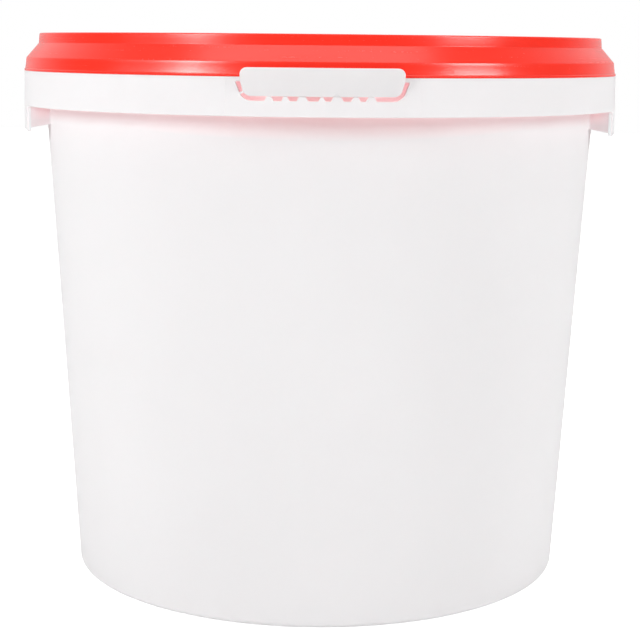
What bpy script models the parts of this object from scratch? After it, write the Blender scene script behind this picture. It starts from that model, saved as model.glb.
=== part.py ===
"""Fermenting bucket with a snap lid: white moulded tub with a hanging apron, two hand
grips and a tear-off tab, red lid with a recessed panel, sealing ring and airlock grommet.

Metres, +Z up. The origin is the centre of the foot ring, on the surface it stands on.
The tab faces -Y and the two grips are at +X and -X.
"""

import math

import bmesh
import bpy

MM = 0.001
SEGMENTS = 64               # facets round the tub, lid and seal

# ---- tub (millimetres) ----
WALL_R0 = 162.7             # outer radius of the wall, carried down to the floor plane
WALL_SLOPE = 0.0594         # growth of that radius per millimetre of height
WALL_T = 2.2                # wall thickness
FLOOR_UNDER = 4.0           # underside of the floor, above the foot plane
FLOOR_T = 2.4               # floor thickness
FLOOR_FILLET = 8.0          # inside corner between floor and wall
FOOT_FILLET = 6.0           # outside corner between wall and foot
FOOT_INNER = 152.0          # inner radius of the foot ring, at the floor
RIM_TOP = 349.6             # top of the rim
RIM_R = 182.35              # outer radius of the straight rim above the ledge
BEAD_R = 182.8              # outer radius of the rim bead
BEAD_LOW = 345.6            # lower edge of the bead's straight part
LEDGE_TOP = 331.4           # ledge that carries the apron
LEDGE_T = 2.2
APRON_R = 194.9             # outer radius of the apron, at its top
APRON_IN = 192.55           # inner radius of the apron, at its top
APRON_FLARE = 0.5           # both grow by this much down to the lower edge
APRON_LOW = 309.5           # lower edge of the apron
GRIP_LOW = 293.5            # lower edge of the apron at the two grips
GRIP_DRAFT = 0.3            # below that the grip wall leans back in by this much
GRIP_HALF = 57.5            # half length of each grip
GRIP_RIB_ANGLE = 16.4       # angle of the grip's end ribs from the X axis
GRIP_RIB_T = 2.0
GRIP_RIB_LOW_OUT = 295.5    # lower edge of an end rib at the apron
GRIP_RIB_LOW_IN = 298.2     # and at the wall
RIB_T = 1.6                 # small ribs under the ledge
RIB_LOW = 314.0
RIB_ANGLES = (36, 54, 72, 90, 108, 126, 144, 216, 234, 252, 288, 306, 324)

# ---- tear-off tab and its slot ----
TAB_HALF = 45.3             # half width
TAB_LOW_HALF = 44.4         # half width where the lower corners start
TAB_TOP = 336.85
TAB_LOW = 320.9
TAB_CORNER_TOP = 4.0
TAB_CORNER_LOW = 4.5
TAB_R_LOW = 194.0           # inner radius at the lower edge
TAB_R_TOP = 197.5           # inner radius at the upper edge
TAB_T = 1.6
SLOT_HALF = 49.0            # half width of the slot at its upper end
SLOT_LOW_HALF = 47.1
SLOT_TOP = 329.1            # the links between apron and tab are above this
SLOT_LOW = 318.4
SLOT_CORNER = 5.0
SLOT_BACK = 185.5           # how far in the slot is cut, as a distance from the axis
TOOTH_PITCH = 9.5           # break-off teeth along the slot's lower edge
TOOTH_SHIFT = -1.0
TOOTH_COUNT = 7
TOOTH_WIDE = (5.6, 2.4)     # width at the foot and at the tip
TOOTH_NARROW = (3.6, 1.4)
GAP = 0.3                   # clearance between pieces that touch

# ---- lid ----
LID_LOW = 331.7             # lower edge of the lid
LID_TOP = 355.5
BAND_R = 184.9              # upper band, at its top
BAND_R_LOW = 185.4
BAND_LOW = 349.2            # lower edge of the upper band
SLOPE_LOW = 340.0           # lower edge of the slope
SLOPE_R = 193.3
SKIRT_R = 194.35            # lower band, just above its edge bead
LID_R = 194.9               # edge bead
LID_T = 1.8
CHANNEL_TOP = 353.6         # roof of the channel over the rim
CHANNEL_OUT = 183.3
CHANNEL_IN = 178.2
PLUG_T = 2.0
PANEL_TOP = 340.0           # recessed panel
PANEL_T = 2.0
STACK_RING_IN = 164.0       # raised ring that locates the foot of a bucket stacked on top
STACK_RING_OUT = 167.0
STACK_RING_H = 2.0
AIRLOCK_Y = 105.0           # airlock hole, off centre towards the back
AIRLOCK_HOLE_R = 7.0

# ---- sealing ring and grommet ----
SEAL_IN = 178.65
SEAL_OUT = 182.85
GROMMET_BORE = 4.5
GROMMET_FLANGE = 9.5
GROMMET_FLANGE_T = 2.2

WHITE = (0.871, 0.857, 0.864, 1.0)
RED = (0.975, 0.028, 0.019, 1.0)
SEAL_GREY = (0.55, 0.56, 0.57, 1.0)
RUBBER = (0.02, 0.02, 0.022, 1.0)


def wall(z):
    """Outer radius of the tub's wall at height z."""
    return WALL_R0 + WALL_SLOPE * z


def arc(cx, cz, r, start, end, steps):
    """Points on an arc, angles in degrees, both ends included."""
    out = []
    for i in range(steps + 1):
        a = math.radians(start + (end - start) * i / steps)
        out.append((cx + r * math.cos(a), cz + r * math.sin(a)))
    return out


def principled(name, colour, roughness):
    mat = bpy.data.materials.new(name)
    mat.use_nodes = True
    shader = mat.node_tree.nodes["Principled BSDF"]
    shader.inputs["Base Color"].default_value = colour
    shader.inputs["Roughness"].default_value = roughness
    shader.inputs["Metallic"].default_value = 0.0
    return mat


def turned(name, profile, collection, closed=False, segments=SEGMENTS, drop=0.0):
    """A profile in millimetres, (radius, height), turned about the Z axis."""
    mesh = bpy.data.meshes.new(name)
    bm = bmesh.new()
    verts = [bm.verts.new((r * MM, 0.0, (z - drop) * MM)) for r, z in profile]
    for a, b in zip(verts, verts[1:]):
        bm.edges.new((a, b))
    if closed:
        bm.edges.new((verts[-1], verts[0]))
    bm.to_mesh(mesh)
    bm.free()
    obj = bpy.data.objects.new(name, mesh)
    collection.objects.link(obj)
    screw = obj.modifiers.new("turn", "SCREW")
    screw.axis = "Z"
    screw.angle = 2.0 * math.pi
    screw.steps = segments
    screw.render_steps = segments
    screw.use_merge_vertices = True
    screw.merge_threshold = 0.00001
    screw.use_smooth_shade = True
    return obj


def slab(name, outline, half, collection):
    """A closed flat outline in millimetres, standing in the XZ plane, half its thickness each way along Y."""
    curve = bpy.data.curves.new(name, "CURVE")
    curve.dimensions = "2D"
    curve.fill_mode = "BOTH"
    curve.extrude = half * MM
    spline = curve.splines.new("POLY")
    spline.points.add(len(outline) - 1)
    for point, (x, z) in zip(spline.points, outline):
        point.co = (x * MM, z * MM, 0.0, 1.0)
    spline.use_cyclic_u = True
    flat = bpy.data.objects.new(name + "_outline", curve)
    collection.objects.link(flat)
    flat.rotation_euler = (math.pi / 2.0, 0.0, 0.0)
    bpy.context.view_layer.update()
    evaluated = flat.evaluated_get(bpy.context.evaluated_depsgraph_get())
    mesh = bpy.data.meshes.new_from_object(evaluated)
    mesh.transform(flat.matrix_world)
    bm = bmesh.new()
    bm.from_mesh(mesh)
    bmesh.ops.remove_doubles(bm, verts=bm.verts, dist=0.000001)
    bmesh.ops.recalc_face_normals(bm, faces=bm.faces)
    bm.to_mesh(mesh)
    bm.free()
    bpy.data.objects.remove(flat)
    obj = bpy.data.objects.new(name, mesh)
    collection.objects.link(obj)
    return obj


def as_cutter(obj):
    obj.hide_render = True
    obj.display_type = "WIRE"
    return obj


def boolean(obj, name, operation, other=None, group=None):
    mod = obj.modifiers.new(name, "BOOLEAN")
    mod.operation = operation
    mod.solver = "EXACT"
    if group is not None:
        mod.operand_type = "COLLECTION"
        mod.collection = group
    else:
        mod.object = other
    return mod


def finish(obj, material):
    obj.data.materials.clear()
    obj.data.materials.append(material)
    obj.data.shade_smooth()
    obj.data.set_sharp_from_angle(angle=math.radians(35.0))


def tub_profile():
    floor = FLOOR_UNDER + FLOOR_T
    inner = [(0.0, floor)]
    cz = floor + FLOOR_FILLET
    lean = math.degrees(math.atan(WALL_SLOPE))
    inner += arc(wall(cz) - WALL_T - FLOOR_FILLET, cz, FLOOR_FILLET, -90.0, -lean, 4)
    rim_in = RIM_R - WALL_T
    rim = [
        (wall(LEDGE_TOP) - WALL_T, LEDGE_TOP),
        (rim_in, RIM_TOP - 0.6),
        (rim_in + 0.5, RIM_TOP),
        (BEAD_R - 0.55, RIM_TOP),
        (BEAD_R, RIM_TOP - 0.6),
        (BEAD_R, BEAD_LOW),
        (RIM_R, BEAD_LOW - 1.3),
    ]
    low = APRON_FLARE - GRIP_DRAFT
    ledge = [
        (RIM_R, LEDGE_TOP),
        (APRON_R - 0.6, LEDGE_TOP),
        (APRON_R, LEDGE_TOP - 0.6),
        (APRON_R + APRON_FLARE, APRON_LOW),
        (APRON_R + low, GRIP_LOW + 0.7),
        (APRON_R + low - 0.7, GRIP_LOW),
        (APRON_IN + low + 0.6, GRIP_LOW),
        (APRON_IN + low, GRIP_LOW + 0.6),
        (APRON_IN + APRON_FLARE, APRON_LOW),
        (APRON_IN, LEDGE_TOP - LEDGE_T),
        (wall(LEDGE_TOP - LEDGE_T), LEDGE_TOP - LEDGE_T),
    ]
    foot = arc(wall(FOOT_FILLET) - FOOT_FILLET, FOOT_FILLET, FOOT_FILLET, -lean, -90.0, 4)
    under = [
        (FOOT_INNER + 1.2, 0.0),
        (FOOT_INNER, FLOOR_UNDER),
        (0.0, FLOOR_UNDER),
    ]
    return inner + rim + ledge + foot + under


def lid_profile():
    plug_in = CHANNEL_IN - PLUG_T
    panel = [
        (0.0, PANEL_TOP),
        (STACK_RING_IN, PANEL_TOP),
        (STACK_RING_IN + 0.4, PANEL_TOP + STACK_RING_H),
        (STACK_RING_OUT - 0.4, PANEL_TOP + STACK_RING_H),
        (STACK_RING_OUT, PANEL_TOP),
    ]
    corner = arc(plug_in - 3.4, PANEL_TOP + 3.0, 3.0, -90.0, 0.0, 3)
    top = [
        (plug_in, LID_TOP - 1.2),
        (plug_in + 1.0, LID_TOP),
        (BAND_R - 1.2, LID_TOP),
        (BAND_R, LID_TOP - 1.2),
    ]
    outside = [
        (BAND_R_LOW, BAND_LOW),
        (SLOPE_R, SLOPE_LOW),
        (SKIRT_R, LID_LOW + 1.3),
        (LID_R, LID_LOW + 0.8),
        (LID_R, LID_LOW + 0.3),
        (LID_R - 0.4, LID_LOW),
        (LID_R - 2.2, LID_LOW),
    ]
    inside = [
        (SLOPE_R - LID_T, SLOPE_LOW - 0.7),
        (CHANNEL_OUT + 0.15, BAND_LOW - 0.6),
        (CHANNEL_OUT, CHANNEL_TOP),
        (CHANNEL_IN, CHANNEL_TOP),
        (CHANNEL_IN - 0.4, PANEL_TOP - PANEL_T + 1.0),
        (CHANNEL_IN - 1.4, PANEL_TOP - PANEL_T),
        (0.0, PANEL_TOP - PANEL_T),
    ]
    return panel + corner + top + outside + inside


def tab_outline():
    """Front outline of the tab, clockwise from its upper left corner."""
    half, low = TAB_HALF, TAB_LOW_HALF
    right = arc(half - TAB_CORNER_TOP, TAB_TOP - TAB_CORNER_TOP, TAB_CORNER_TOP, 90.0, 0.0, 4)
    right.append((half, SLOT_TOP))
    right += arc(low - TAB_CORNER_LOW, TAB_LOW + TAB_CORNER_LOW, TAB_CORNER_LOW, -10.0, -90.0, 4)
    return right + [(-x, z) for x, z in reversed(right)]


def slot_outline():
    """Front outline of what the tab's slot removes from the apron."""
    neck = TAB_HALF + GAP + 0.05
    right = [(neck, LEDGE_TOP + 2.0), (neck, SLOT_TOP), (SLOT_HALF, SLOT_TOP)]
    right += arc(SLOT_LOW_HALF - SLOT_CORNER, SLOT_LOW + SLOT_CORNER, SLOT_CORNER, -10.0, -90.0, 4)
    return right + [(-x, z) for x, z in reversed(right)]


def build():
    for obj in list(bpy.data.objects):
        bpy.data.objects.remove(obj)
    scene = bpy.context.scene
    parts = bpy.data.collections.new("fermenting_bucket")
    cutters = bpy.data.collections.new("fermenting_bucket_cutters")
    ribs = bpy.data.collections.new("fermenting_bucket_ribs")
    scene.collection.children.link(parts)
    scene.collection.children.link(cutters)
    cutters.children.link(ribs)

    white = principled("white_polypropylene", WHITE, 0.38)
    tab_white = principled("white_polypropylene_tab", WHITE, 0.38)
    red = principled("red_polypropylene", RED, 0.32)
    seal_grey = principled("seal_foam_grey", SEAL_GREY, 0.7)
    black = principled("grommet_rubber", RUBBER, 0.6)

    # ---- tub ----
    bucket = turned("bucket", tub_profile(), parts)

    # The apron hangs lower only along the two grips: a ring cutter trims the rest of it.
    trim = as_cutter(turned(
        "apron_trim",
        [(APRON_R + 5.0, APRON_LOW), (APRON_R + 5.0, GRIP_LOW - 5.0),
         (APRON_IN - 4.0, GRIP_LOW - 5.0), (APRON_IN - 4.0, APRON_LOW)],
        cutters, closed=True))
    bpy.ops.mesh.primitive_cube_add(size=1.0, location=(0.0, 0.0, (GRIP_LOW + APRON_LOW) / 2 * MM))
    keep = as_cutter(bpy.context.object)
    keep.name = "grip_keep"
    keep.scale = (2.2 * APRON_R * MM, 2.0 * GRIP_HALF * MM, 40.0 * MM)
    for group in list(keep.users_collection):
        group.objects.unlink(keep)
    cutters.objects.link(keep)
    boolean(trim, "spare_grips", "DIFFERENCE", keep)
    boolean(bucket, "trim_apron", "DIFFERENCE", trim)

    # Ribs under the ledge, and the end ribs of the grips.
    top = LEDGE_TOP - LEDGE_T / 2
    middle = (APRON_R + APRON_IN) / 2

    def rib(name, low_in, low_out, thickness, angle):
        shape = [
            (wall(low_in) - WALL_T / 2, low_in),
            (wall(top) - WALL_T / 2, top),
            (middle, top),
            (middle + (APRON_FLARE - GRIP_DRAFT if low_out < APRON_LOW else 0.0), low_out),
        ]
        obj = as_cutter(slab(name, shape, thickness / 2, ribs))
        obj.rotation_euler = (0.0, 0.0, math.radians(angle))

    for angle in RIB_ANGLES:
        rib("rib_%03d" % angle, RIB_LOW, RIB_LOW, RIB_T, angle)
    for side in (0.0, 180.0):
        for way in (-1.0, 1.0):
            angle = side + way * GRIP_RIB_ANGLE
            rib("grip_rib_%03d" % (angle % 360.0), GRIP_RIB_LOW_IN, GRIP_RIB_LOW_OUT,
                GRIP_RIB_T, angle)
    boolean(bucket, "join_ribs", "UNION", group=ribs)

    # Slot round the tab, cut through the apron and the outer part of the ledge.
    reach = 20.0
    slot = as_cutter(slab("tab_slot", slot_outline(), reach / 2, cutters))
    slot.location = (0.0, -(SLOT_BACK + reach / 2) * MM, 0.0)
    boolean(bucket, "cut_slot", "DIFFERENCE", slot)

    # Break-off teeth on the slot's lower edge, just short of the tab.
    teeth = bpy.data.collections.new("fermenting_bucket_teeth")
    cutters.children.link(teeth)
    tip = TAB_LOW - GAP
    for i in range(TOOTH_COUNT):
        x = (i - (TOOTH_COUNT - 1) / 2) * TOOTH_PITCH + TOOTH_SHIFT
        foot_w, tip_w = TOOTH_WIDE if i % 2 == 0 else TOOTH_NARROW
        shape = [(-foot_w / 2, SLOT_LOW - 1.0), (-foot_w / 2, SLOT_LOW + 0.4), (-tip_w / 2, tip),
                 (tip_w / 2, tip), (foot_w / 2, SLOT_LOW + 0.4), (foot_w / 2, SLOT_LOW - 1.0)]
        tooth = as_cutter(slab("tooth_%d" % i, shape, 0.7, teeth))
        turn = math.asin(x / APRON_R)
        stand = middle + 0.15
        tooth.location = (math.sin(turn) * stand * MM, -math.cos(turn) * stand * MM, 0.0)
        tooth.rotation_euler = (0.0, 0.0, turn)
    boolean(bucket, "join_teeth", "UNION", group=teeth)
    finish(bucket, white)

    # ---- lid, with its origin on the axis at its lower edge ----
    lid = turned("lid", lid_profile(), parts, drop=LID_LOW)
    lid.location = (0.0, 0.0, LID_LOW * MM)
    bpy.ops.mesh.primitive_cylinder_add(
        vertices=24, radius=AIRLOCK_HOLE_R * MM, depth=20.0 * MM,
        location=(0.0, AIRLOCK_Y * MM, (PANEL_TOP - PANEL_T / 2) * MM))
    hole = as_cutter(bpy.context.object)
    hole.name = "airlock_hole"
    for group in list(hole.users_collection):
        group.objects.unlink(hole)
    cutters.objects.link(hole)
    boolean(lid, "drill_airlock_hole", "DIFFERENCE", hole)
    finish(lid, red)

    # ---- sealing ring in the lid's channel, above the rim ----
    low, high = RIM_TOP + GAP, CHANNEL_TOP - GAP
    seal = turned(
        "lid_gasket",
        [(SEAL_OUT - 0.6, high), (SEAL_OUT, high - 0.6), (SEAL_OUT, low + 0.6), (SEAL_OUT - 0.6, low),
         (SEAL_IN + 0.6, low), (SEAL_IN, low + 0.6), (SEAL_IN, high - 0.6), (SEAL_IN + 0.6, high)],
        parts, closed=True, drop=LID_LOW)
    seal.parent = lid
    finish(seal, seal_grey)

    # ---- grommet, with its groove round the edge of the airlock hole ----
    upper, lower = PANEL_TOP + GAP, PANEL_TOP - PANEL_T - GAP
    neck = AIRLOCK_HOLE_R - GAP
    rim = GROMMET_FLANGE
    grommet = turned(
        "airlock_grommet",
        [(GROMMET_BORE + 0.6, upper + GROMMET_FLANGE_T), (rim - 0.9, upper + GROMMET_FLANGE_T),
         (rim, upper + GROMMET_FLANGE_T - 0.9), (rim, upper), (neck, upper), (neck, lower),
         (rim, lower), (rim, lower - GROMMET_FLANGE_T + 0.9), (rim - 0.9, lower - GROMMET_FLANGE_T),
         (GROMMET_BORE + 0.6, lower - GROMMET_FLANGE_T), (GROMMET_BORE, lower - GROMMET_FLANGE_T + 0.6),
         (GROMMET_BORE, upper + GROMMET_FLANGE_T - 0.6)],
        parts, closed=True, segments=24, drop=LID_LOW)
    grommet.parent = lid
    grommet.location = (0.0, AIRLOCK_Y * MM, 0.0)
    finish(grommet, black)

    # ---- tear-off tab: part of a cone that leans out over the lid's lower band ----
    lean = (TAB_R_TOP - TAB_R_LOW) / (TAB_TOP - TAB_LOW)
    over = 3.0
    tab = turned(
        "tamper_tab",
        [(TAB_R_TOP + lean * over + TAB_T, TAB_TOP + over), (TAB_R_LOW - lean * over + TAB_T, TAB_LOW - over),
         (TAB_R_LOW - lean * over, TAB_LOW - over), (TAB_R_TOP + lean * over, TAB_TOP + over)],
        parts, closed=True)
    front = as_cutter(slab("tab_front", tab_outline(), 14.0, cutters))
    front.location = (0.0, -190.0 * MM, 0.0)
    boolean(tab, "trim_outline", "INTERSECT", front)
    pull = bpy.data.objects.new("tab_pull_axis", None)
    parts.objects.link(pull)
    pull.location = (0.0, -APRON_R * MM, (TAB_TOP + TAB_LOW) / 2 * MM)
    tab.parent = pull
    tab.location = (0.0, APRON_R * MM, -(TAB_TOP + TAB_LOW) / 2 * MM)
    finish(tab, tab_white)


build()
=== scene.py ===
"""Looks of the fermenting bucket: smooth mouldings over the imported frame, their plastics, studio light and camera."""

import math

import bmesh
import bpy
from mathutils import Matrix, Vector
from mathutils.geometry import delaunay_2d_cdt


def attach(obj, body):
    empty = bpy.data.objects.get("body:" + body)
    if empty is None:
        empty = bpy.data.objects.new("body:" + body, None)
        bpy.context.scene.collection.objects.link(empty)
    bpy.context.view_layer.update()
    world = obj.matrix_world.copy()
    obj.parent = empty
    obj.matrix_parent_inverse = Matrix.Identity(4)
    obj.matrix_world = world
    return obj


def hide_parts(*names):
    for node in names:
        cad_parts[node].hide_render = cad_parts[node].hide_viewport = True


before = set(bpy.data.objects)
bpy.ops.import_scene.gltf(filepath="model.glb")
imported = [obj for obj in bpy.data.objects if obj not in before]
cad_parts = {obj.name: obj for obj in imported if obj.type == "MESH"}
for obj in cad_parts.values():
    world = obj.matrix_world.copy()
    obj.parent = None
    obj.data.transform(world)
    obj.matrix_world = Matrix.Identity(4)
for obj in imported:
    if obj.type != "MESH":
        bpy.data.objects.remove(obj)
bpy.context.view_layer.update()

MM = 0.001
SEGMENTS = 288              # facets round every turned moulding
COLUMN = 1.25               # degrees between the upright cuts of a bent plate

# ---- the frame's measures, in millimetres ----
WALL_R0, WALL_SLOPE, WALL_T = 162.7, 0.0594, 2.2
FLOOR_UNDER, FLOOR_T = 4.0, 2.4
RIM_TOP, RIM_R, BEAD_R, BEAD_LOW = 349.6, 182.35, 182.8, 345.6
LEDGE_TOP, LEDGE_T = 331.4, 2.2
APRON_R, APRON_IN, APRON_FLARE, APRON_LOW = 194.9, 192.55, 0.5, 309.5
GRIP_LOW, GRIP_DRAFT, GRIP_HALF = 293.5, 0.3, 57.5
GRIP_RIB_ANGLE, GRIP_RIB_T = 16.82, 2.0
GRIP_RIB_LOW_OUT, GRIP_RIB_LOW_IN = 295.5, 298.2
RIB_T, RIB_LOW = 1.6, 314.0
RIB_ANGLES = (36, 54, 72, 90, 108, 126, 144, 216, 234, 252, 288, 306, 324)
TAB_HALF, TAB_LOW_HALF = 45.3, 44.4
TAB_TOP, TAB_LOW, TAB_T = 336.85, 320.9, 1.6
TAB_R_LOW, TAB_R_TOP = 194.0, 197.5
SLOT_HALF, SLOT_LOW_HALF = 49.0, 47.1
SLOT_TOP, SLOT_LOW, SLOT_CORNER, SLOT_BACK = 329.1, 318.4, 7.5, 185.5
APRON_TOP, LID_LOW, LID_TOP = 331.6, 331.63, 355.5
AIRLOCK_Y, AIRLOCK_HOLE_R = 105.0, 7.0

# Break-off teeth under the tab: middle, width half way up.
TEETH = ((-29.8, 3.9), (-20.6, 3.3), (-11.1, 5.2), (-0.3, 2.7), (8.3, 5.8), (18.6, 4.1), (27.3, 4.9))
GUSSETS = (7.9, 27.2)       # two teeth run up the tab's face as small gussets
SLOT_EDGE, TIP_EDGE, TOP_EDGE, LOW_EDGE = 0.22, 0.08, 0.3, 0.6   # rounding of the apron's edges
INSERT_HALF, INSERT_DEPTH = 54.6, 0.10   # shut-off lines of the mould insert round the tab
GLOW, GLOW_LOW, GLOW_FADE = 0.445, 0.2955, 0.80   # painted red glow (emission) under the ledge: strength, lowest height in metres, falling off


def wall(z):
    return WALL_R0 + WALL_SLOPE * z


# ---------------------------------------------------------------- mesh tools

def arc(cx, cz, r, start, end, steps):
    out = []
    for i in range(steps + 1):
        a = math.radians(start + (end - start) * i / steps)
        out.append((cx + r * math.cos(a), cz + r * math.sin(a)))
    return out


def rounded(corners, closed=False, fine=11.0):
    """Points of an outline whose corners (a, b, radius) are rounded off."""
    n = len(corners)
    out = []
    for i, corner in enumerate(corners):
        radius = corner[2] if len(corner) > 2 else 0.0
        p = Vector(corner[:2])
        if radius <= 0.0 or (not closed and i in (0, n - 1)):
            out.append((p.x, p.y))
            continue
        a = Vector(corners[i - 1][:2]) - p
        b = Vector(corners[(i + 1) % n][:2]) - p
        reach = 0.48 * min(a.length, b.length)
        a.normalize()
        b.normalize()
        half = a.angle(b) / 2.0
        if half > math.radians(89.5):
            out.append((p.x, p.y))
            continue
        t = radius / math.tan(half)
        if t > reach:
            t = reach
            radius = t * math.tan(half)
        centre = p + (a + b).normalized() * (radius / math.sin(half))
        first, last = p + a * t - centre, p + b * t - centre
        turn0 = math.atan2(first.y, first.x)
        sweep = math.atan2(last.y, last.x) - turn0
        sweep = (sweep + math.pi) % (2.0 * math.pi) - math.pi
        steps = max(3, math.ceil(abs(math.degrees(sweep)) / fine))
        for k in range(steps + 1):
            turn = turn0 + sweep * k / steps
            out.append((centre.x + radius * math.cos(turn), centre.y + radius * math.sin(turn)))
    return out


def guarded(points, closed=False, guard=0.35, longest=24.0):
    """Adds points close to both ends of long straights, so that smooth shading stays in the rounded corners."""
    pairs = list(zip(points, points[1:]))
    if closed:
        pairs.append((points[-1], points[0]))
    out = []
    for (a, b), (c, d) in pairs:
        out.append((a, b))
        length = math.hypot(c - a, d - b)
        if length < 3.0 * guard:
            continue
        marks = [guard / length, 1.0 - guard / length]
        parts = math.ceil(length / longest)
        marks += [k / parts for k in range(1, parts)]
        for t in sorted(marks):
            out.append((a + (c - a) * t, b + (d - b) * t))
    if not closed:
        out.append(points[-1])
    return out


def linked(name, bm):
    """A scene object of a bmesh in millimetres."""
    bmesh.ops.recalc_face_normals(bm, faces=bm.faces)
    mesh = bpy.data.meshes.new(name)
    bm.to_mesh(mesh)
    bm.free()
    mesh.transform(Matrix.Scale(MM, 4))
    obj = bpy.data.objects.new(name, mesh)
    bpy.context.scene.collection.objects.link(obj)
    return obj


def turned(name, points, closed=False, segments=SEGMENTS, middle=(0.0, 0.0)):
    """A profile (radius, height) turned about an upright axis."""
    bm = bmesh.new()
    rings = []
    for r, z in points:
        if r < 1e-6:
            rings.append([bm.verts.new((middle[0], middle[1], z))])
            continue
        ring = []
        for k in range(segments):
            a = 2.0 * math.pi * k / segments
            ring.append(bm.verts.new((middle[0] + r * math.sin(a), middle[1] - r * math.cos(a), z)))
        rings.append(ring)
    pairs = list(zip(rings, rings[1:]))
    if closed:
        pairs.append((rings[-1], rings[0]))
    for low, high in pairs:
        for k in range(segments):
            j = (k + 1) % segments
            face = [low[k % len(low)], low[j % len(low)], high[j % len(high)], high[k % len(high)]]
            face = list(dict.fromkeys(face))
            if len(face) > 2:
                bm.faces.new(face)
    return linked(name, bm)


def plate(outline, thickness, edge, marks, steps=3, end=None):
    """A flat plate with rounded edges, as a bmesh in (along, depth, height), its faces split along upright marks.

    The outline runs anticlockwise. The rounding of the edge is a function of the place along the outline.
    A plate with an end has open ends there, which meet when it is wrapped round.
    """
    marks = [m for m in sorted(marks) if min(abs(m - s) for s, _ in outline) > 0.03]
    points, columns = [], {m: [] for m in marks}
    for (a, b), (c, d) in zip(outline, outline[1:] + outline[:1]):
        points.append(Vector((a, b)))
        for m in marks if a < c else reversed(marks):
            if min(a, c) < m < max(a, c):
                columns[m].append(len(points))
                points.append(Vector((m, b + (d - b) * (m - a) / (c - a))))
    n = len(points)
    at_end = [end is not None and abs(abs(p.x) - end) < 1e-3 for p in points]
    inward = []
    for i in range(n):
        e0 = (points[i] - points[i - 1]).normalized()
        e1 = (points[(i + 1) % n] - points[i]).normalized()
        n0, n1 = Vector((-e0.y, e0.x)), Vector((-e1.y, e1.x))
        if at_end[i]:
            inward.append(n0 if abs(n0.y) > abs(n1.y) else n1)
        else:
            inward.append((n0 + n1) / max(0.35, 1.0 + n0.dot(n1)))
    radii = [edge(p.x, p.y) for p in points]
    turns = [math.radians(90.0 * k / steps) for k in range(steps + 1)]
    bm = bmesh.new()
    rings = []
    for a, back in [(a, False) for a in turns] + [(a, True) for a in reversed(turns)]:
        ring = []
        for p, m, r in zip(points, inward, radii):
            inset, depth = r * (1.0 - math.sin(a)), r * (1.0 - math.cos(a))
            ring.append(bm.verts.new((p.x + m.x * inset, thickness - depth if back else depth, p.y + m.y * inset)))
        rings.append(ring)
    for a, b in zip(rings, rings[1:]):
        for i in range(n):
            j = (i + 1) % n
            if not (at_end[i] and at_end[j]):
                bm.faces.new((a[i], a[j], b[j], b[i]))
    flat = [Vector((v.co.x, v.co.z)) for v in rings[0]]
    lines = [(i, (i + 1) % n) for i in range(n)]
    for line in columns.values():
        line.sort(key=lambda i: flat[i].y)
        lines += list(zip(line[0::2], line[1::2]))
    _, _, cells, source, _, inside = delaunay_2d_cdt(flat, lines, [list(range(n))], 4, 1e-6, True)
    for cell, owner in zip(cells, inside):
        if owner:
            for ring in (rings[0], rings[-1]):
                bm.faces.new([ring[source[i][0]] for i in cell])
    return bm


def columns(reach):
    """Upright marks across a plate, evenly spaced and clear of its ends."""
    step = math.radians(COLUMN) * APRON_R
    count = int(reach / step)
    return [k * step for k in range(-count, count + 1) if abs(k * step) < reach - 0.5]


def bend(bm, radius_at, heights=()):
    """Wraps a plate round the axis, its middle at the front."""
    for z in heights:
        bmesh.ops.bisect_plane(
            bm, geom=bm.verts[:] + bm.edges[:] + bm.faces[:], dist=1e-4,
            plane_co=(0.0, 0.0, z), plane_no=(0.0, 0.0, 1.0))
    for v in bm.verts:
        s, depth, z = v.co
        r = radius_at(s, z) - depth
        turn = s / APRON_R
        v.co = (r * math.sin(turn), -r * math.cos(turn), z)
    bmesh.ops.triangulate(bm, faces=[f for f in bm.faces if len(f.verts) > 4])


def along(x):
    """Distance along the apron's face of a point seen x from the middle, from straight in front."""
    return APRON_R * math.asin(x / APRON_R)


def settled(obj):
    """Puts an object's modifiers into its mesh."""
    bpy.context.view_layer.update()
    evaluated = obj.evaluated_get(bpy.context.evaluated_depsgraph_get())
    mesh = bpy.data.meshes.new_from_object(evaluated)
    old = obj.data
    obj.modifiers.clear()
    obj.data = mesh
    mesh.name = obj.name
    if old.users == 0:
        bpy.data.meshes.remove(old)


def combine(obj, others, operation):
    """Joins closed solids to a closed solid, or cuts them from it."""
    for other in others:
        mod = obj.modifiers.new("combine", "BOOLEAN")
        mod.operation = operation
        mod.solver = "MANIFOLD"
        mod.object = other
    settled(obj)
    for other in others:
        mesh = other.data
        bpy.data.objects.remove(other)
        bpy.data.meshes.remove(mesh)


def block(name, corners, half):
    """A closed plate of an outline (radius, height), its thickness along the tangent at angle 0 from +X."""
    bm = bmesh.new()
    sides = [[bm.verts.new((r, side * half, z)) for r, z in corners] for side in (-1.0, 1.0)]
    bm.faces.new(sides[0])
    bm.faces.new(sides[1])
    n = len(corners)
    for i in range(n):
        j = (i + 1) % n
        bm.faces.new((sides[0][i], sides[0][j], sides[1][j], sides[1][i]))
    return linked(name, bm)


def smooth(obj, sharp=34.0):
    mesh = obj.data
    bm = bmesh.new()
    bm.from_mesh(mesh)
    bmesh.ops.dissolve_degenerate(bm, edges=bm.edges, dist=4e-7)
    bm.to_mesh(mesh)
    bm.free()
    mesh.shade_smooth()
    mesh.set_sharp_from_angle(angle=math.radians(sharp))
    mod = obj.modifiers.new("even_normals", "WEIGHTED_NORMAL")
    mod.mode = "FACE_AREA"
    mod.weight = 50
    mod.keep_sharp = True


# ---------------------------------------------------------------- tub

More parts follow.
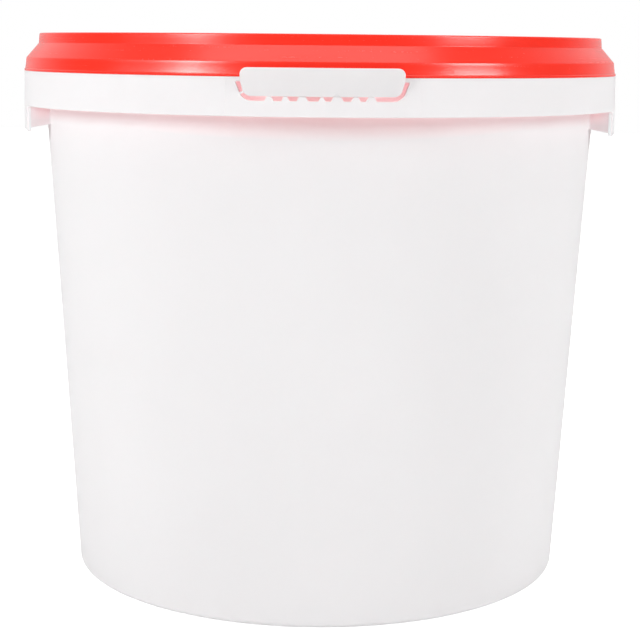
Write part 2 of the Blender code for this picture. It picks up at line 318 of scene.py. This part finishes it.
def tub():
    floor = FLOOR_UNDER + FLOOR_T
    under = FLOOR_UNDER
    # The wall turns in to the foot in a soft corner, with the parting line of the mould's base in it.
    deep, tall = 7.5, 4.4
    foot = [(wall(tall + 0.25), tall + 0.25), (wall(tall + 0.1), tall + 0.1)]
    foot += [(wall(tall) - 0.18 - deep * (1.0 - math.cos(a)), tall * (1.0 - math.sin(a)))
             for a in (math.radians(d) for d in range(0, 91, 5))]
    corners = [
        (0.0, floor),
        (120.0, floor), (121.0, floor + 0.5, 0.5), (123.0, floor + 0.5, 0.5), (124.0, floor),
        (wall(floor) - WALL_T, floor, 8.0),
        (wall(LEDGE_TOP) - WALL_T, LEDGE_TOP, 12.0),
        (RIM_R - WALL_T, RIM_TOP, 0.8),
        (BEAD_R, RIM_TOP, 1.2),
        (BEAD_R, BEAD_LOW, 0.9),
        (RIM_R, BEAD_LOW - 1.3, 0.5),
        (RIM_R, LEDGE_TOP - 0.03, 0.8),
        (APRON_R - 1.1, LEDGE_TOP - 0.03),
        (APRON_R - 1.1, LEDGE_TOP - LEDGE_T),
        (wall(LEDGE_TOP - LEDGE_T), LEDGE_TOP - LEDGE_T, 1.2),
        *foot,
        (153.2, 0.0, 0.7),
        (152.0, under, 1.2),
        (111.2, under), (110.6, under - 0.45, 0.3), (109.4, under - 0.45, 0.3), (108.8, under),
        (61.2, under), (60.6, under - 0.45, 0.3), (59.4, under - 0.45, 0.3), (58.8, under),
        (9.0, under), (8.2, under + 0.6, 0.4), (2.6, under + 0.6, 0.3), (2.2, under + 0.1, 0.3),
        (0.0, under + 0.1),
    ]
    body = turned("bucket_body", guarded(rounded(corners)))

    # The ledge stops short behind the tab.
    gap = TAB_HALF + 0.14
    bm = bmesh.new()
    bmesh.ops.create_cube(bm, size=1.0)
    for v in bm.verts:
        v.co = (v.co.x * 2.0 * gap, -SLOT_BACK - 10.0 + v.co.y * 20.0, LEDGE_TOP - 0.5 + v.co.z * 6.0)
    combine(body, [linked("ledge_cut", bm)], "DIFFERENCE")
    return body


def slot_edge():
    """The slot's edge from its upper right end to its upper left end, with the teeth standing in it."""
    neck = TAB_HALF + 0.14
    points = [(neck, APRON_TOP, 0.5), (neck, SLOT_TOP, 0.3), (SLOT_HALF, SLOT_TOP, 0.7)]
    points += arc(SLOT_LOW_HALF - SLOT_CORNER, SLOT_LOW + SLOT_CORNER, SLOT_CORNER, -10.0, -90.0, 8)
    tip = TAB_LOW - 0.06
    for x, width in reversed(TEETH):
        foot, top = width + 1.5, max(1.2, width - 1.5)
        points += [(x + foot / 2, SLOT_LOW, 0.5), (x + top / 2, tip, 0.32),
                   (x - top / 2, tip, 0.32), (x - foot / 2, SLOT_LOW, 0.5)]
    # A thin link bridges the slot in its lower left corner.
    corner = (-(SLOT_LOW_HALF - SLOT_CORNER), SLOT_LOW + SLOT_CORNER, SLOT_CORNER)
    points += arc(*corner, -90.0, -147.0, 6)
    points += [(-43.95, 322.85, 0.25), (-44.4, 323.95, 0.25)]
    points += arc(*corner, -157.0, -170.0, 2)
    points += [(-SLOT_HALF, SLOT_TOP, 0.7), (-neck, SLOT_TOP, 0.3), (-neck, APRON_TOP, 0.5)]
    return [(along(p[0]), *p[1:]) for p in points]


def apron():
    end = math.pi * APRON_R
    outline = [(-end, APRON_LOW)]
    half = math.asin(GRIP_HALF / APRON_R)
    for side in (-1.0, 1.0):
        middle = side * math.pi / 2.0
        left, right = (middle - half) * APRON_R, (middle + half) * APRON_R
        outline += [(left, APRON_LOW, 2.4), (left, GRIP_LOW, 2.6), (right, GRIP_LOW, 2.6), (right, APRON_LOW, 2.4)]
    outline += [(end, APRON_LOW), (end, APRON_TOP)]
    outline += slot_edge()
    outline += [(-end, APRON_TOP)]
    step = along(INSERT_HALF)
    marks = columns(end) + [side * (step + d) for side in (-1.0, 1.0) for d in (-0.6, 0.0, 0.1, 0.7)]

    def edge(s, z):
        if z < APRON_LOW + 2.5:
            return LOW_EDGE
        if z > APRON_TOP - 0.01:
            return SLOT_EDGE + (TOP_EDGE - SLOT_EDGE) * min(1.0, max(0.0, (abs(s) - 46.6) / 4.0))
        if abs(s) < 35.0:
            return SLOT_EDGE + (TIP_EDGE - SLOT_EDGE) * min(1.0, (z - SLOT_LOW) / (TAB_LOW - SLOT_LOW - 0.5))
        return SLOT_EDGE

    bm = plate(rounded(outline, closed=True), APRON_R - APRON_IN, edge, marks, end=end)

    def radius_at(s, z):
        r = APRON_R + APRON_FLARE * min(1.0, (LEDGE_TOP - z) / (LEDGE_TOP - APRON_LOW))
        if z < APRON_LOW:
            r -= GRIP_DRAFT * (APRON_LOW - z) / (APRON_LOW - GRIP_LOW)
        if abs(s) < step + 0.05:
            r -= INSERT_DEPTH
        return r

    bend(bm, radius_at, heights=(APRON_LOW + 1.2,))
    seam = [v for v in bm.verts if v.co.y > 0.0 and abs(v.co.x) < 0.01]
    bmesh.ops.remove_doubles(bm, verts=seam, dist=0.005)
    return linked("apron", bm)


def ribs():
    top = LEDGE_TOP - LEDGE_T / 2
    middle = (APRON_R + APRON_IN) / 2
    made = []

    def rib(name, low_in, low_out, thickness, angle):
        shape = [
            (wall(low_in) - WALL_T / 2, low_in),
            (middle + (APRON_FLARE - GRIP_DRAFT if low_out < APRON_LOW else 0.0), low_out),
            (middle, top),
            (wall(top) - WALL_T / 2, top),
        ]
        obj = block(name, shape, thickness / 2)
        obj.data.transform(Matrix.Rotation(math.radians(angle), 4, "Z"))
        made.append(obj)

    for angle in RIB_ANGLES:
        rib("rib_%03d" % angle, RIB_LOW, RIB_LOW, RIB_T, angle)
    for side in (0.0, 180.0):
        for way in (-1.0, 1.0):
            angle = side + way * GRIP_RIB_ANGLE
            rib("grip_rib_%03d" % (angle % 360.0), GRIP_RIB_LOW_IN, GRIP_RIB_LOW_OUT, GRIP_RIB_T, angle)
    return made


# ---------------------------------------------------------------- tab

def tab_radius(z):
    """Inner radius of the tab: it leans out over the lid's lower band and straightens towards its top."""
    t = min(1.0, max(0.0, (z - TAB_LOW) / (TAB_TOP - TAB_LOW)))
    flush = TAB_R_LOW - 0.5
    return flush + (TAB_R_TOP - flush) * (1.0 - (1.0 - t) ** 1.7)


def tab():
    half, low = TAB_HALF, TAB_LOW_HALF
    right = arc(low - 4.5, TAB_LOW + 4.5, 4.5, -90.0, -10.0, 8)
    right.append((half, SLOT_TOP))
    right += arc(half - 4.0, TAB_TOP - 4.0, 4.0, 0.0, 90.0, 8)
    outline = right + [(-x, z) for x, z in reversed(right)]
    outline = [(along(x), z) for x, z in outline]
    bm = plate(outline, TAB_T, lambda s, z: 0.07 + 0.43 * min(1.0, max(0.0, (z - 321.5) / 3.5)),
               columns(along(half)), steps=4)
    bend(bm, lambda s, z: tab_radius(z) + TAB_T, heights=[TAB_LOW + 0.75 + 1.2 * k for k in range(13)])
    body = linked("tab_body", bm)

    # Gussets over the two tallest teeth.
    made = []
    for x in GUSSETS:
        bm = bmesh.new()
        base, peak = TAB_LOW + 0.1, TAB_LOW + 2.3
        front = tab_radius(base) + TAB_T
        points = [(-2.6, base, front - 0.9), (2.6, base, front - 0.9), (1.5, base, front + 0.34),
                  (-1.5, base, front + 0.34), (0.0, peak, tab_radius(peak) + TAB_T - 0.9),
                  (0.0, peak, tab_radius(peak) + TAB_T + 0.02)]
        verts = []
        for dx, z, r in points:
            turn = math.asin((x + dx) / APRON_R)
            verts.append(bm.verts.new((r * math.sin(turn), -r * math.cos(turn), z)))
        a, b, c, d, e, f = verts
        for face in ((a, b, c, d), (b, e, f, c), (a, d, f, e), (d, c, f), (a, e, b)):
            bm.faces.new(face)
        made.append(linked("gusset", bm))
    combine(body, made, "UNION")
    return body


# ---------------------------------------------------------------- lid

def lid():
    plug = 176.2
    # The lower band leaves the slope in a soft shoulder, and flares out again towards its bead.
    skirt = []
    for d in (0.35, 0.7, 1.1, 1.5, 2.0, 3.0, 4.0, 5.0, 5.9):
        e = max(0.0, 1.0 - d / 2.0)
        skirt.append((193.4 + 0.0973 * d + 0.1213 * (1.0 - e ** 3) + 0.0075 * max(0.0, d - 2.0) ** 2, 340.0 - d))
    corners = [
        (0.0, 340.25), (2.2, 340.25, 0.2), (2.6, 339.75, 0.2), (7.4, 339.75, 0.2), (8.2, 340.0),
        (60.0, 340.0), (110.0, 340.0), (140.0, 340.0),
        (164.0, 340.0, 0.5), (164.5, 342.0, 0.6), (166.5, 342.0, 0.6), (167.0, 340.0, 0.5),
        (plug - 0.4, 340.0, 3.0),
        (plug, LID_TOP, 1.2),
        (184.88, LID_TOP, 1.0),
        (185.13, 352.6), (185.25, 351.0),
        (185.37, 349.2, 0.5),
        (193.4, 340.0, 0.4),
        *skirt,
        (194.38, 333.2, 0.2),
        (194.9, 332.75, 0.25),
        (194.9, LID_LOW, 0.2),
        (192.7, LID_LOW, 0.4),
        (191.5, 339.3, 1.0),
        (183.45, 348.6, 1.0),
        (183.3, 353.6, 0.5),
        (178.2, 353.6, 0.5),
        (177.8, 339.0, 0.5),
        (176.8, 338.0, 0.5),
        (140.0, 338.0), (110.0, 338.0), (60.0, 338.0),
        (0.0, 338.0),
    ]
    body = turned("lid_body", guarded(rounded(corners)))
    hole = turned("hole", [(0.0, 330.0), (AIRLOCK_HOLE_R, 330.0), (AIRLOCK_HOLE_R, 345.0), (0.0, 345.0)],
                  segments=72, middle=(0.0, AIRLOCK_Y))
    combine(body, [hole], "DIFFERENCE")

    # Small pull mark low on the skirt, right of the tab.
    bm = bmesh.new()
    verts = []
    for r_out, z in ((194.52, 333.5), (194.15, 335.9)):
        for r, widths in ((192.8, (-1.9, 1.9)), (r_out, (-1.7, 1.1))):
            for dx in widths:
                turn = math.radians(22.9) + dx / APRON_R
                verts.append(bm.verts.new((r * math.sin(turn), -r * math.cos(turn), z)))
    for face in ((0, 1, 3, 2), (4, 5, 7, 6), (0, 1, 5, 4), (2, 3, 7, 6), (0, 2, 6, 4), (1, 3, 7, 5)):
        bm.faces.new([verts[i] for i in face])
    combine(body, [linked("pull_mark", bm)], "UNION")
    return body


def gasket():
    corners = [(178.65, 349.9, 1.0), (182.85, 349.9, 1.0), (182.85, 353.3, 0.8), (178.65, 353.3, 0.8)]
    return turned("gasket_ring", guarded(rounded(corners, closed=True), closed=True), closed=True)


def grommet():
    upper, lower, rim, neck = 340.3, 337.7, 9.5, 6.7
    corners = [
        (4.5, upper + 2.2, 0.8), (4.5, 340.0, 0.5), (4.72, 339.0, 0.5), (4.5, 338.0, 0.5), (4.5, lower - 2.2, 0.8),
        (rim - 1.2, lower - 2.2, 0.7), (rim, lower - 0.9, 0.7), (rim, lower, 0.5),
        (neck, lower, 0.3), (neck, upper, 0.3),
        (rim, upper, 0.5), (rim, upper + 2.2, 1.0),
    ]
    return turned("grommet_ring", guarded(rounded(corners, closed=True), closed=True, guard=0.15), closed=True,
                  segments=96, middle=(0.0, AIRLOCK_Y))


bucket_body = tub()
combine(bucket_body, [apron()], "UNION")
combine(bucket_body, ribs(), "UNION")
tab_body = tab()
lid_body = lid()
gasket_ring = gasket()
grommet_ring = grommet()
for piece in (bucket_body, tab_body, lid_body, gasket_ring, grommet_ring):
    smooth(piece)


# ---------------------------------------------------------------- materials

class Nodes:
    """A material's node tree, with short calls for what the plastics share."""

    def __init__(self, name):
        self.material = bpy.data.materials.new(name)
        self.material.use_nodes = True
        self.tree = self.material.node_tree
        self.shader = self.tree.nodes["Principled BSDF"]
        self.place = self.add("ShaderNodeTexCoord").outputs["Object"]

    def add(self, kind, **values):
        node = self.tree.nodes.new(kind)
        for key, value in values.items():
            setattr(node, key, value)
        return node

    def link(self, a, b):
        self.tree.links.new(a, b)

    def stretched(self, scale, turn=(0.0, 0.0, 0.0)):
        node = self.add("ShaderNodeMapping")
        node.inputs["Scale"].default_value = scale
        node.inputs["Rotation"].default_value = turn
        self.link(self.place, node.inputs["Vector"])
        return node.outputs["Vector"]

    def noise(self, scale, detail=3.0, rough=0.5, at=None):
        node = self.add("ShaderNodeTexNoise")
        node.inputs["Scale"].default_value = scale
        node.inputs["Detail"].default_value = detail
        node.inputs["Roughness"].default_value = rough
        self.link(at or self.place, node.inputs["Vector"])
        return node.outputs["Fac"]

    def spread(self, value, low, high, to_low, to_high):
        node = self.add("ShaderNodeMapRange", clamp=True)
        for key, number in (("From Min", low), ("From Max", high), ("To Min", to_low), ("To Max", to_high)):
            node.inputs[key].default_value = number
        self.link(value, node.inputs["Value"])
        return node.outputs["Result"]

    def math(self, operation, a, b):
        node = self.add("ShaderNodeMath", operation=operation)
        for socket, value in zip(node.inputs, (a, b)):
            if isinstance(value, float):
                socket.default_value = value
            else:
                self.link(value, socket)
        return node.outputs["Value"]

    def tint(self, value, low, high):
        node = self.add("ShaderNodeMix", data_type="RGBA")
        node.inputs[6].default_value = (*low, 1.0)
        node.inputs[7].default_value = (*high, 1.0)
        self.link(value, node.inputs[0])
        return node.outputs[2]

    def bump(self, height, distance, strength=1.0, before=None):
        node = self.add("ShaderNodeBump")
        node.inputs["Strength"].default_value = strength
        node.inputs["Distance"].default_value = distance
        self.link(height, node.inputs["Height"])
        if before is not None:
            self.link(before, node.inputs["Normal"])
        return node.outputs["Normal"]


def painted_red_glow(m):
    """Painted red glow: emission under the ledge and in the gap behind the apron stands in for the red light that the
    lid lets through; painted shade darkens the base colour there.
    """
    split = m.add("ShaderNodeSeparateXYZ")
    m.link(m.place, split.inputs[0])
    flat = m.add("ShaderNodeCombineXYZ")
    m.link(split.outputs["X"], flat.inputs["X"])
    m.link(split.outputs["Y"], flat.inputs["Y"])
    length = m.add("ShaderNodeVectorMath", operation="LENGTH")
    m.link(flat.outputs[0], length.inputs[0])
    r, z = length.outputs["Value"], split.outputs["Z"]
    face = m.math("MULTIPLY_ADD", z, -WALL_SLOPE)
    face.node.inputs[2].default_value = -WALL_R0 * MM
    outside = m.spread(m.math("ADD", r, face), -0.0015, -0.0005, 0.0, 1.0)
    inside = m.math("MULTIPLY", m.spread(r, 0.1865, 0.1928, 1.0, 0.35),
                    m.spread(r, (APRON_IN + 0.05) * MM, (APRON_IN + 0.25) * MM, 1.0, 0.0))
    below = m.spread(z, 0.3306, 0.3311, 1.0, 0.0)
    x, y = split.outputs["X"], split.outputs["Y"]
    # The painted glow reaches the cut edges of the tab's slot as well, fading towards the front face.
    slot = m.math("MULTIPLY", m.spread(m.math("ABSOLUTE", x, 0.0), 0.0495, 0.0505, 1.0, 0.0), m.spread(z, 0.3165, 0.3175, 0.0, 1.0))
    slot = m.math("MULTIPLY", slot, m.spread(y, -0.15, -0.14, 1.0, 0.0))
    inside = m.math("MAXIMUM", inside, m.math("MULTIPLY", slot, m.spread(r, 0.1928, 0.1946, 1.0, 0.0)))
    reach = m.math("SUBTRACT", z, m.spread(y, -0.182, -0.135, 0.0, 0.005))
    depth = m.math("POWER", m.spread(reach, GLOW_LOW, 0.3180, 0.0, 0.652), GLOW_FADE)
    gap = m.math("MULTIPLY", m.math("MULTIPLY", outside, inside), below)
    s = m.shader.inputs
    # Colour and strength of the painted glow: paler higher up and away from the front, stronger away from the front.
    paler = m.math("ADD", m.spread(z, 0.300, 0.320, 0.0, 1.0), m.spread(y, -0.182, -0.135, 0.0, 0.95))
    colour = m.tint(paler, (1.0, 0.02, 0.04), (1.0, 0.31, 0.33))
    power = m.spread(y, -0.182, -0.135, GLOW, 1.22 * GLOW)
    strength = m.math("MULTIPLY", m.math("MULTIPLY", gap, depth), power)
    # Painted shade: the base colour of the grips' end ribs, deep in the gap, is darkened and tinted pink.
    side = m.math("ABSOLUTE", y, 0.0)
    grip = m.math("MULTIPLY", gap, m.spread(side, 0.0585, 0.0600, 1.0, 0.0))
    grip = m.math("MULTIPLY", grip, m.spread(z, 0.2940, 0.2950, 0.0, 1.0))
    grip = m.math("MULTIPLY", grip, m.spread(m.math("ADD", r, face), 0.0002, 0.0012, 0.0, 1.0))
    painted_rib_shade = m.add("ShaderNodeMix", data_type="RGBA", blend_type="MULTIPLY")
    m.link(grip, painted_rib_shade.inputs[0])
    m.link(s["Base Color"].links[0].from_socket, painted_rib_shade.inputs[6])
    painted_rib_shade.inputs[7].default_value = (0.955, 0.90, 0.905, 1.0)
    # Painted shade: high up behind the apron, where less light gets in, the base colour is darkened.
    dim = m.add("ShaderNodeMix", data_type="RGBA", blend_type="MULTIPLY")
    m.link(m.math("MULTIPLY", gap, m.spread(z, 0.3205, 0.3240, 0.0, 1.0)), dim.inputs[0])
    m.link(painted_rib_shade.outputs[2], dim.inputs[6])
    dim.inputs[7].default_value = (0.875, 0.835, 0.845, 1.0)
    m.link(dim.outputs[2], s["Base Color"])
    # Painted glow: the thin ends of the grips get a pale emission, stronger on the right, standing in for light coming
    # through them, so they stay white.
    post = m.math("MULTIPLY", m.spread(side, 0.0560, 0.0566, 0.0, 1.0), m.spread(z, 0.3075, 0.3095, 1.0, 0.0))
    post = m.math("MULTIPLY", post, m.spread(r, (APRON_IN + 0.25) * MM, (APRON_IN + 0.55) * MM, 0.0, 1.0))
    post = m.math("MULTIPLY", post, m.spread(r, 0.1940, 0.1952, 1.0, 0.2))
    white = m.add("ShaderNodeMix", data_type="RGBA")
    m.link(post, white.inputs[0])
    m.link(colour, white.inputs[6])
    white.inputs[7].default_value = (0.5, 1.0, 1.0, 1.0)
    m.link(white.outputs[2], s["Emission Color"])
    painted_end_glow = m.math("MULTIPLY", post, m.spread(x, -0.18, 0.18, 0.145, 0.225))
    m.link(m.math("ADD", strength, painted_end_glow), s["Emission Strength"])


def white_plastic(name, pale=(0.871, 0.857, 0.864)):
    """Satin white polypropylene: fine mould texture, faint draw marks and scuffs, light soaking a little way in."""
    m = Nodes(name)
    s = m.shader.inputs
    cloud = m.noise(9.0, 4.0)
    grain = m.noise(1500.0, 2.0)
    draw = m.noise(60.0, 3.0, at=m.stretched((1.0, 1.0, 0.06)))
    scuff = m.noise(38.0, 6.0, 0.62, at=m.stretched((1.0, 1.0, 2.2), (0.4, 0.2, 0.9)))
    marks = m.spread(scuff, 0.66, 0.78, 0.0, 1.0)
    low, high = [c - 0.009 for c in pale], [c + 0.009 for c in pale]
    m.link(m.tint(m.spread(cloud, 0.3, 0.7, 0.0, 1.0), low, high), s["Base Color"])
    rough = m.math("ADD", m.spread(cloud, 0.3, 0.7, 0.50, 0.58), m.spread(scuff, 0.62, 0.8, 0.0, 0.10))
    m.link(m.math("ADD", rough, m.spread(grain, 0.3, 0.7, -0.03, 0.03)), s["Roughness"])
    normal = m.bump(grain, 0.00006, 0.5)
    normal = m.bump(draw, 0.0002, 0.25, normal)
    normal = m.bump(marks, 0.00004, 0.3, normal)
    m.link(normal, s["Normal"])
    s["IOR"].default_value = 1.49
    s["Specular IOR Level"].default_value = 0.27
    s["Subsurface Weight"].default_value = 0.55
    s["Subsurface Radius"].default_value = (1.0, 0.95, 0.95)
    s["Subsurface Scale"].default_value = 0.0013
    return m


def red_plastic(name):
    """Bright red polypropylene with a soft gloss: flow streaks round the skirt, hairline scratches, fine grain.

    A painted red glow, a faint red emission over the whole lid, stands in for light coming through from inside, so its
    ends stay red where they turn away.
    """
    m = Nodes(name)
    s = m.shader.inputs
    cloud = m.noise(14.0, 4.0)
    grain = m.noise(900.0, 2.0)
    streak = m.noise(14.0, 5.0, 0.6, at=m.stretched((0.55, 0.55, 70.0)))
    scratch = m.noise(30.0, 5.0, 0.6, at=m.stretched((1.0, 9.0, 9.0), (0.3, 0.5, 0.4)))
    m.link(m.tint(m.spread(cloud, 0.3, 0.7, 0.0, 1.0), (0.975, 0.0285, 0.0105), (0.995, 0.0330, 0.0135)), s["Base Color"])
    rough = m.math("ADD", m.spread(streak, 0.3, 0.7, 0.20, 0.27), m.spread(scratch, 0.64, 0.76, 0.0, 0.05))
    m.link(m.math("ADD", rough, m.spread(grain, 0.3, 0.7, -0.02, 0.02)), s["Roughness"])
    normal = m.bump(grain, 0.00005, 0.25)
    normal = m.bump(streak, 0.00035, 0.07, normal)
    m.link(normal, s["Normal"])
    s["IOR"].default_value = 1.49
    s["Specular IOR Level"].default_value = 0.65
    s["Subsurface Weight"].default_value = 0.12
    # Painted glow: a faint red emission over the whole lid.
    s["Emission Color"].default_value = (1.0, 0.0, 0.0, 1.0)
    s["Emission Strength"].default_value = 0.06
    s["Subsurface Radius"].default_value = (1.0, 0.12, 0.08)
    s["Subsurface Scale"].default_value = 0.003
    return m.material


def grey_seal(name):
    m = Nodes(name)
    s = m.shader.inputs
    cells = m.noise(1100.0, 4.0, 0.6)
    cloud = m.noise(40.0, 3.0)
    m.link(m.tint(m.spread(cloud, 0.3, 0.7, 0.0, 1.0), (0.50, 0.51, 0.52), (0.58, 0.59, 0.60)), s["Base Color"])
    m.link(m.spread(cells, 0.3, 0.7, 0.62, 0.85), s["Roughness"])
    m.link(m.bump(cells, 0.00015, 0.6), s["Normal"])
    return m.material


def black_rubber(name):
    m = Nodes(name)
    s = m.shader.inputs
    grain = m.noise(1400.0, 3.0)
    cloud = m.noise(120.0, 4.0)
    m.link(m.tint(m.spread(cloud, 0.3, 0.75, 0.0, 1.0), (0.014, 0.014, 0.015), (0.040, 0.039, 0.038)), s["Base Color"])
    m.link(m.spread(cloud, 0.3, 0.7, 0.48, 0.66), s["Roughness"])
    m.link(m.bump(grain, 0.00006, 0.6), s["Normal"])
    return m.material


bucket_plastic = white_plastic("bucket_plastic")
painted_red_glow(bucket_plastic)
for piece, material, slot, body, node in (
    (bucket_body, bucket_plastic.material, "bucket_white", "bucket", "bucket"),
    # The tab's white is a darker copy of the bucket's: painted shade for its face, which leans out and down away from
    # the light.
    (tab_body, white_plastic("tab_plastic_painted_shade", (0.822, 0.814, 0.819)).material, "tab_white", "tamper_tab", "tamper_tab"),
    (lid_body, red_plastic("lid_plastic"), "lid_red", "lid", "lid"),
    (gasket_ring, grey_seal("seal_foam"), "gasket_grey", "lid", "lid_gasket"),
    (grommet_ring, black_rubber("grommet_rubber"), "grommet_rubber", "lid", "airlock_grommet"),
):
    piece.data.materials.clear()
    piece.data.materials.append(material)
    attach(piece, body)
    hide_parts(node)


# ---------------------------------------------------------------- floor, light and camera

FLOOR_GLOW = 0.16           # light that the pale floor throws back at the bucket

scene = bpy.context.scene
scene.view_settings.view_transform = "Standard"
scene.view_settings.look = "None"

bm = bmesh.new()
bmesh.ops.create_circle(bm, cap_ends=True, segments=96, radius=6.0)
mesh = bpy.data.meshes.new("floor")
bm.to_mesh(mesh)
bm.free()
floor = bpy.data.objects.new("floor", mesh)
scene.collection.objects.link(floor)
floor.location = (0.0, 0.0, -0.0002)
pale = bpy.data.materials.new("pale_floor")
pale.use_nodes = True
tree = pale.node_tree
shader = tree.nodes["Principled BSDF"]
shader.inputs["Base Color"].default_value = (0.78, 0.78, 0.78, 1.0)
shader.inputs["Roughness"].default_value = 0.9
shader.inputs["Specular IOR Level"].default_value = 0.1
glow = tree.nodes.new("ShaderNodeEmission")
path = tree.nodes.new("ShaderNodeLightPath")
bright = tree.nodes.new("ShaderNodeMapRange")
bright.inputs["To Min"].default_value = FLOOR_GLOW
bright.inputs["To Max"].default_value = 0.93
geometry = tree.nodes.new("ShaderNodeNewGeometry")
clear = tree.nodes.new("ShaderNodeBsdfTransparent")
lit = tree.nodes.new("ShaderNodeAddShader")
sided = tree.nodes.new("ShaderNodeMixShader")
tree.links.new(path.outputs["Is Camera Ray"], bright.inputs["Value"])
tree.links.new(bright.outputs["Result"], glow.inputs["Strength"])
tree.links.new(shader.outputs[0], lit.inputs[0])
tree.links.new(glow.outputs[0], lit.inputs[1])
tree.links.new(geometry.outputs["Backfacing"], sided.inputs[0])
tree.links.new(lit.outputs[0], sided.inputs[1])
tree.links.new(clear.outputs[0], sided.inputs[2])
tree.links.new(sided.outputs[0], tree.nodes["Material Output"].inputs["Surface"])
mesh.materials.append(pale)


def softbox(name, azimuth, elevation, distance, width, height, power, colour=(1.0, 1.0, 1.0), aim=(0.0, 0.0, 0.24)):
    """An area light round the bucket: azimuth from straight in front, to the right, in degrees."""
    data = bpy.data.lights.new(name, "AREA")
    data.shape = "RECTANGLE"
    data.size, data.size_y = width, height
    data.energy = power
    data.color = colour
    obj = bpy.data.objects.new(name, data)
    scene.collection.objects.link(obj)
    a, e = math.radians(azimuth), math.radians(elevation)
    way = Vector((math.sin(a) * math.cos(e), -math.cos(a) * math.cos(e), math.sin(e)))
    obj.location = Vector(aim) + way * distance
    obj.rotation_mode = "QUATERNION"
    obj.rotation_quaternion = (-way).to_track_quat("-Z", "Y")
    obj.visible_camera = False
    return obj


softbox("left_core", -47.0, 22.5, 1.7, 0.20, 0.66, 5.0)
softbox("left_box", -47.5, 22.0, 1.7, 0.66, 0.52, 7.0)
softbox("left_side", -68.0, 22.0, 1.7, 0.60, 0.66, 1.3)
softbox("right_box", 56.5, 22.5, 1.8, 0.62, 0.62, 13.0)
softbox("back_box", 180.0, 32.0, 1.8, 0.9, 0.7, 4.5)
softbox("top_box", 0.0, 86.0, 1.5, 1.45, 0.9, 6.4, aim=(-0.05, 0.0, 0.24))

world = bpy.data.worlds.new("studio")
scene.world = world
world.use_nodes = True
tree = world.node_tree
tree.nodes.clear()
coords = tree.nodes.new("ShaderNodeTexCoord")
split = tree.nodes.new("ShaderNodeSeparateXYZ")
tree.links.new(coords.outputs["Generated"], split.inputs[0])
def ramp(name, axis, low, high, dim, bright):
    """Brightness of the studio that changes from one side to the other."""
    node = tree.nodes.new("ShaderNodeMapRange")
    node.name = name
    for key, number in (("From Min", low), ("From Max", high), ("To Min", dim), ("To Max", bright)):
        node.inputs[key].default_value = number
    tree.links.new(split.outputs[axis], node.inputs["Value"])
    return node


behind = ramp("behind", "Y", 0.3, 0.75, 0.0, 0.62)
above = ramp("above", "Z", 0.15, 0.28, 0.2, 0.353)
total = tree.nodes.new("ShaderNodeMath")
total.operation = "ADD"
tree.links.new(behind.outputs["Result"], total.inputs[0])
tree.links.new(above.outputs["Result"], total.inputs[1])
ambient = tree.nodes.new("ShaderNodeBackground")
tree.links.new(total.outputs[0], ambient.inputs["Strength"])
backdrop = tree.nodes.new("ShaderNodeBackground")
backdrop.inputs["Color"].default_value = (1.0, 1.0, 1.0, 1.0)
backdrop.inputs["Strength"].default_value = 1.0
path = tree.nodes.new("ShaderNodeLightPath")
choose = tree.nodes.new("ShaderNodeMixShader")
tree.links.new(path.outputs["Is Camera Ray"], choose.inputs[0])
tree.links.new(ambient.outputs[0], choose.inputs[1])
tree.links.new(backdrop.outputs[0], choose.inputs[2])
out = tree.nodes.new("ShaderNodeOutputWorld")
tree.links.new(choose.outputs[0], out.inputs["Surface"])

camera_data = bpy.data.cameras.new("camera")
camera = bpy.data.objects.new("camera", camera_data)
scene.collection.objects.link(camera)
camera_data.sensor_width = 36.0
camera_data.lens = 92.81
camera_data.clip_start, camera_data.clip_end = 0.05, 60.0
SIDE, YAW, PITCH, ROLL = math.radians(0.42), math.radians(0.081), math.radians(9.38), math.radians(0.575)
DISTANCE, HEIGHT = 1.117, 0.348
camera.location = (-DISTANCE * math.sin(SIDE), -DISTANCE * math.cos(SIDE), HEIGHT)
turn = SIDE + YAW
look = Vector((math.sin(turn) * math.cos(PITCH), math.cos(turn) * math.cos(PITCH), -math.sin(PITCH)))
right = Vector((math.cos(turn), -math.sin(turn), 0.0))
up = right.cross(look)
right_r = right * math.cos(ROLL) + up * math.sin(ROLL)
up_r = up * math.cos(ROLL) - right * math.sin(ROLL)
basis = Matrix((right_r, up_r, -look)).transposed()
camera.rotation_mode = "QUATERNION"
camera.rotation_quaternion = basis.to_quaternion()
scene.camera = camera
